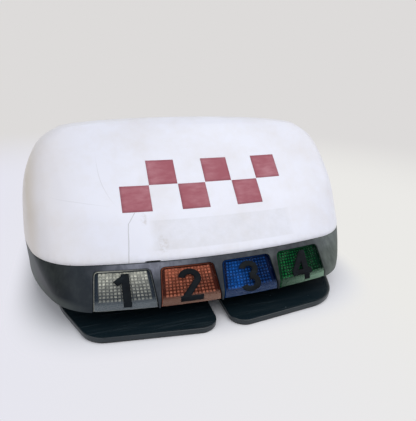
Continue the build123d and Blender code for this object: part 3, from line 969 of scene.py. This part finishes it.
def arc(x, y, radius, start, stop, points=26):
    """Points on an arc, by its centre, radius and end angles in degrees."""
    angle = np.radians(np.linspace(start, stop, points))
    return np.stack([x + radius * np.cos(angle), y + radius * np.sin(angle)], 1)


def line(*ends, points=26):
    """Points on a straight line between two ends."""
    return np.linspace(*np.array(ends), points)


# Middle lines of the strokes of each number and their widths, for a height of 1 and a middle of 0
number_strokes = {
    1: [(line((0.05, 0.0), (0.05, 1.0)), 0.20), (line((-0.2, 0.71), (0.0, 0.87), points=8), 0.17)],
    2: [(np.concatenate([arc(0, 0.70, 0.21, 170, -28), line((0.165, 0.575), (-0.17, 0.13), points=20)]),
         0.18), (line((-0.29, 0.09), (0.3, 0.09)), 0.18)],
    3: [(arc(-0.01, 0.72, 0.19, 165, -88), 0.18), (arc(-0.01, 0.295, 0.205, 88, -165), 0.18)],
    4: [(line((0.12, 0.0), (0.12, 1.0)), 0.19), (line((-0.32, 0.29), (0.32, 0.29)), 0.17),
        (line((-0.25, 0.33), (0.08, 0.93)), 0.17)],
}


def stroke_ribbon(points, width, columns=5):
    """A stroke as a ribbon: each point of its middle line moved to both sides along the line's normal."""
    along = np.gradient(points, axis=0)
    along /= np.linalg.norm(along, axis=1)[:, None]
    normal = np.stack([-along[:, 1], along[:, 0]], 1)
    return points[:, None] + normal[:, None] * (np.linspace(-0.5, 0.5, columns) * width)[None, :, None]


def stick_on(name, patches, film, slot):
    """Film on both long sides: its outer face from grids of points, thickened inwards to four fifths of its
    height over the surface, so that it doesn't touch what it lies on."""
    for end, where in SIDES:
        piece = make_piece(name + end, [patch * where for patch in patches], [film])
        body = piece.modifiers.new("thickness", "SOLIDIFY")
        body.thickness = settings().markings.film * 0.8
        body.offset = -1
        seat(piece, slot)


class ROOFSIGN_OT_numbers(bpy.types.Operator):
    """Black number on each lens"""

    bl_idname = "roof_sign.numbers"
    bl_label = "Numbers"

    def execute(self, context):
        sizes, windows, marks = settings().housing, settings().windows, settings().markings
        film = cut_film("black_vinyl_film", settings().colours.film_black, linear("#1E2428"))
        # Each stroke lies a little higher than the one that it crosses
        step_up = 0.15
        for (number, strokes), middle in zip(number_strokes.items(), window_middles(windows)):
            patches = []
            for place, (points, width) in enumerate(strokes):
                ribbon = stroke_ribbon(points, width) * marks.number_height
                across = ribbon[..., 0] * marks.number_stretch + middle
                depth = windows.recess - marks.film * (1 + step_up * place)
                patches.append(skirt_skin(sizes, windows, across, ribbon[..., 1] + marks.number_foot, depth))
            stick_on("number_%d_" % number, patches, film, "number_film")
        return {"FINISHED"}


def dome_point(sizes, x, path, lift, step=0.2 * MM):
    """Points of the dome's front face at given X and distances from the rim, lifted off it. The face is an
    arc at each level, and the lift follows the normal, the cross product of the surface's two slopes."""
    def surface(across, along):
        plan, height = dome_plan(sizes, dome_rows(sizes, along))
        plan = Plan(*[part[..., 0] for part in plan])
        return stacked(*outline(plan, np.arcsin(across / plan.face)), height[..., 0])

    slope_x = surface(x + step, path) - surface(x - step, path)
    slope_up = surface(x, path + step) - surface(x, path - step)
    normal = np.cross(slope_x, slope_up)
    normal /= np.linalg.norm(normal, axis=-1)[..., None]
    return surface(x, path) + lift * normal


class ROOFSIGN_OT_band(bpy.types.Operator):
    """Dark red chequer band on both faces of the dome"""

    bl_idname = "roof_sign.band"
    bl_label = "Chequer band"

    def execute(self, context):
        sizes, marks = settings().housing, settings().markings
        rim_top = sizes.top + sizes.rim
        level = (marks.band_foot - rim_top) / (sizes.ridge - rim_top)
        foot = np.interp(level, dome_levels[:, 0], dome_path(sizes))
        film = cut_film("red_vinyl_film", settings().colours.film_red, linear("#B98088"))
        # The squares are cut apart by a small share of their side at each edge
        cut = 0.006
        step = np.linspace(cut, 1 - cut, 9) * marks.square
        left = marks.band_middle - marks.squares * marks.square / 2
        patches = []
        for row in range(marks.bands):
            for column in range(row % 2, marks.squares, 2):
                x, path = np.meshgrid(left + column * marks.square + step, foot + row * marks.square + step)
                patches.append(dome_point(sizes, x, path, marks.film))
        stick_on("chequer_band_", patches, film, "band_film")
        return {"FINISHED"}


def rounded_polygon(corners, radii, inset, steps=14):
    """Outline of a polygon with round corners, moved inwards: each corner is an arc about a centre that its
    two edges fix, with its radius less the inset."""
    corners, radii = np.array(corners), np.array(radii)[:, None]
    out = []
    for edge in (corners - np.roll(corners, 1, 0), np.roll(corners, -1, 0) - corners):
        edge /= np.linalg.norm(edge, axis=1)[:, None]
        out.append(np.stack([edge[:, 1], -edge[:, 0]], 1))
    before, after = out
    centre = corners - radii * (before + after) / (1 + (before * after).sum(1))[:, None]
    start, stop = [np.arctan2(normal[:, 1], normal[:, 0]) for normal in out]
    sweep = np.mod(stop - start + pi, 2 * pi) - pi
    angle = start[:, None] + sweep[:, None] * np.linspace(0, 1, steps)
    x = centre[:, :1] + (radii - inset) * np.cos(angle)
    y = centre[:, 1:] + (radii - inset) * np.sin(angle)
    return np.append(x.ravel(), x[0, 0]), np.append(y.ravel(), y[0, 0])


class ROOFSIGN_OT_feet(bpy.types.Operator):
    """Foot plates with eased edges, and the rubber sheets under them"""

    bl_idname = "roof_sign.feet"
    bl_label = "Feet"

    def execute(self, context):
        feet = settings().feet
        inner = feet.gap / 2
        outer = inner + feet.front_width
        side = feet.front_outer - (feet.half_span - outer) * tan(feet.side_angle)
        front = [(inner, -feet.front_inner), (outer, -feet.front_outer), (feet.half_span, -side)]
        corners = front + [(x, -y) for x, y in reversed(front)]
        radii = [feet.inner_corner, feet.front_corner, feet.side_corner]
        radii += [feet.side_corner, feet.rear_corner, feet.inner_corner]
        # The lower edges are broken by small bevels, and the plates' upper ones are round
        plate_bevel, pad_bevel, pad_inset = 0.4 * MM, 0.3 * MM, feet.pad_inset
        inwards, down = rounding(feet.edge, steps=4)
        plate_low, plate_high = [corner.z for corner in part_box("foot_plate_right")]
        pad_low, pad_high = [corner.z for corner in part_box("foot_pad_right")]
        sheet = plate_sheet(settings().colours)
        rubber = hidden_finish("black_rubber_sheet", "#141615", 0.7, 0.003)
        for name, stands_for, slot, finish, insets, heights in (
            ("foot_sheet_", "foot_plate_", "foot_plastic", sheet,
             [plate_bevel, 0.0, *inwards], [plate_low, plate_low + plate_bevel, *(plate_high - down)]),
            ("foot_rubber_", "foot_pad_", "foot_rubber", rubber,
             [pad_inset + pad_bevel, pad_inset, pad_inset], [pad_low, pad_low + pad_bevel, pad_high]),
        ):
            outlines = [rounded_polygon(corners, radii, inset) for inset in insets]
            shape = np.stack([stacked(*points, height) for points, height in zip(outlines, heights)])
            for hand, where in (("right", 1), ("left", HALF_TURN)):
                piece = make_piece(name + hand, [shape * where], [finish], fill=True)
                seat(piece, slot, stands_for + hand)
        return {"FINISHED"}


class ROOFSIGN_OT_underside(bpy.types.Operator):
    """Finishes of the pieces underneath"""

    bl_idname = "roof_sign.underside"
    bl_label = "Underside"

    def execute(self, context):
        # Moulded ABS is dull, moulded nylon has a waxy sheen, and polystyrene sheet and paint are satin
        for name, code, roughness, grain, nodes in (
            ("black_abs_pan", "#1E2123", 0.5, 0.005, ["base_pan"]),
            ("black_nylon_moulded", "#202224", 0.45, 0.003, ["cable_gland"]),
            ("white_polystyrene_sheet", "#DAD9D5", 0.35, 0.02, ["reflector_front", "reflector_rear"]),
            ("black_painted_steel", "#15181A", 0.35, 0.006, ["riser_right", "riser_left"]),
        ):
            finish = hidden_finish(name, code, roughness, grain)
            for cad_node in nodes:
                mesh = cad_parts[cad_node].data
                mesh.materials.clear()
                mesh.materials.append(finish)
        return {"FINISHED"}


# Tone of the backdrop, far from the object
BACKDROP = "#DDDBDA"


def seen_directly(add):
    """1 for rays from the camera and for those that it sees by gloss or through glass, and 0 for the light
    that falls on the object."""
    paths = add("LightPath").node.outputs
    seen = add("Math MAXIMUM", paths["Is Camera Ray"], paths["Is Glossy Ray"])
    return add("Math MAXIMUM", seen, paths["Is Transmission Ray"])


def floor_finish(colours):
    """Pale laminate: matt and even. Away from the object it runs into the backdrop's tone, which shows as it
    is written and needs no light."""
    finish, add, place = new_finish("pale_laminate")
    # Mottle 150 mm across
    mottle = add("TexNoise", place, Scale=1 / 0.15, Detail=2.0)
    share = add("MapRange", mottle, 0.3, 0.7, 0.0, 0.15)
    colour = add("MixRGB", share, colours.floor, linear("#E9E9EC"))
    near = add("BsdfPrincipled", Base_Color=colour, Roughness=0.5)
    # Distance from the middle, 1 on an oval of 235 mm by 210 mm, and the length of its squared parts, which
    # is 1 on a fuller oval that follows the object's outline
    centred = add("Mapping", place, Scale=(1 / 0.235, 1 / 0.21, 0.0))
    squared = add("VectorMath MULTIPLY", centred, centred)
    away, outside = [add("VectorMath LENGTH", vector, out="Value") for vector in (centred, squared)]
    # Painted light: the backdrop's tone is cooler to the left and warmer to the right, where the light comes
    # from
    right = add("MapRange", add("SeparateXYZ", place), -0.35, 0.25)
    tone = add("MixRGB", right, linear("#E5E5F0"), linear("#EBEAE7"))
    back = add("MapRange", away, 2.2, 5.4, **SOFT)
    tone = add("MixRGB", back, tone, linear(BACKDROP))
    share = add("MapRange", outside, 0.8, 1.15, **SOFT)
    share = add("Math MULTIPLY", share, seen_directly(add))
    return close_finish(finish, add("MixShader", share, near, add("Emission", Color=tone)))


def add_camera(scene):
    """Camera at the photograph's angle. Its place and angles come from a perspective fit to it."""
    place, lens = (-0.14479, -0.54124, 0.29616), 33.31
    # Turned to the right, down from the upright, and about the line of sight
    turns = ((-18.80, "Z"), (90.0 - 22.00, "X"), (2.15, "Z"))
    data = bpy.data.cameras.new("camera")
    data.lens = lens
    camera = bpy.data.objects.new("camera", data)
    camera.matrix_world = Matrix.Translation(place)
    for degrees, axis in turns:
        camera.matrix_world @= Matrix.Rotation(radians(degrees), 4, axis)
    scene.collection.objects.link(camera)
    scene.camera = camera


class ROOFSIGN_OT_stage(bpy.types.Operator):
    """Floor, soft light and camera"""

    bl_idname = "roof_sign.stage"
    bl_label = "Stage"

    def execute(self, context):
        scene = context.scene
        half = 6.0
        near, far = [[(-half, y, 0.0), (half, y, 0.0)] for y in (-half, half)]
        make_piece("floor", [np.array([near, far])], [floor_finish(settings().colours)])
        world = bpy.data.worlds.new("studio")
        scene.world = world
        world.use_nodes = True
        world.node_tree.nodes.clear()
        add = partial(node, world.node_tree)
        seen = seen_directly(add)
        colour = add("MixRGB", seen, linear("#E9ECF4"), linear(BACKDROP))
        strength = add("MapRange", seen, 0.0, 1.0, 0.6, 1.0)
        add("OutputWorld", add("Background", Color=colour, Strength=strength))
        # Square lamps that look at the sign: their places, widths and powers
        target = Vector((0.0, 0.0, 0.1))
        for name, at, width, power in (
            ("key", (0.5, -0.75, 1.5), 1.6, 12.5),
            ("left", (-1.2, -0.8, 1.0), 1.2, 4.0),
            ("right", (1.3, -0.1, 1.0), 1.2, 2.0),
        ):
            data = bpy.data.lights.new(name, "AREA")
            data.shape = "SQUARE"
            data.size = width
            data.energy = power
            lamp = bpy.data.objects.new(name, data)
            lamp.location = at
            lamp.rotation_euler = (target - Vector(at)).to_track_quat("-Z", "Y").to_euler()
            scene.collection.objects.link(lamp)
        add_camera(scene)
        scene.view_settings.view_transform = "Standard"
        return {"FINISHED"}


class SignSettings(bpy.types.PropertyGroup):
    """Everything that a user can change."""

    housing: PointerProperty(type=HousingSizes)
    windows: PointerProperty(type=WindowSizes)
    markings: PointerProperty(type=MarkingSizes)
    feet: PointerProperty(type=FootSizes)
    colours: PointerProperty(type=Colours)


class ROOFSIGN_PT_panel(bpy.types.Panel):
    """Lists the pieces and their settings"""

    bl_idname = "ROOFSIGN_PT_panel"
    bl_label = "Roof Sign"
    bl_space_type = "VIEW_3D"
    bl_region_type = "UI"
    bl_category = "Roof Sign"

    def draw(self, context):
        for operator in operators:
            self.layout.operator(operator.bl_idname)
        sign = context.scene.roof_sign
        for group in sign.__annotations__:
            box = self.layout.box()
            box.label(text=group.capitalize())
            values = getattr(sign, group)
            for name in values.__annotations__:
                box.prop(values, name)


groups = [HousingSizes, WindowSizes, MarkingSizes, FootSizes, Colours, SignSettings]
operators = [
    ROOFSIGN_OT_stage, ROOFSIGN_OT_dome, ROOFSIGN_OT_gasket, ROOFSIGN_OT_skirt, ROOFSIGN_OT_lenses,
    ROOFSIGN_OT_numbers, ROOFSIGN_OT_band, ROOFSIGN_OT_feet, ROOFSIGN_OT_underside,
]


def register():
    for kind in groups + operators + [ROOFSIGN_PT_panel]:
        bpy.utils.register_class(kind)
    bpy.types.Scene.roof_sign = PointerProperty(type=SignSettings)


def unregister():
    del bpy.types.Scene.roof_sign
    for kind in reversed(groups + operators + [ROOFSIGN_PT_panel]):
        bpy.utils.unregister_class(kind)


def main():
    register()
    bpy.ops.roof_sign.stage()
    bpy.ops.roof_sign.dome()
    bpy.ops.roof_sign.gasket()
    bpy.ops.roof_sign.skirt()
    bpy.ops.roof_sign.lenses()
    bpy.ops.roof_sign.numbers()
    bpy.ops.roof_sign.band()
    bpy.ops.roof_sign.feet()
    bpy.ops.roof_sign.underside()


if __name__ == "__main__":
    main()
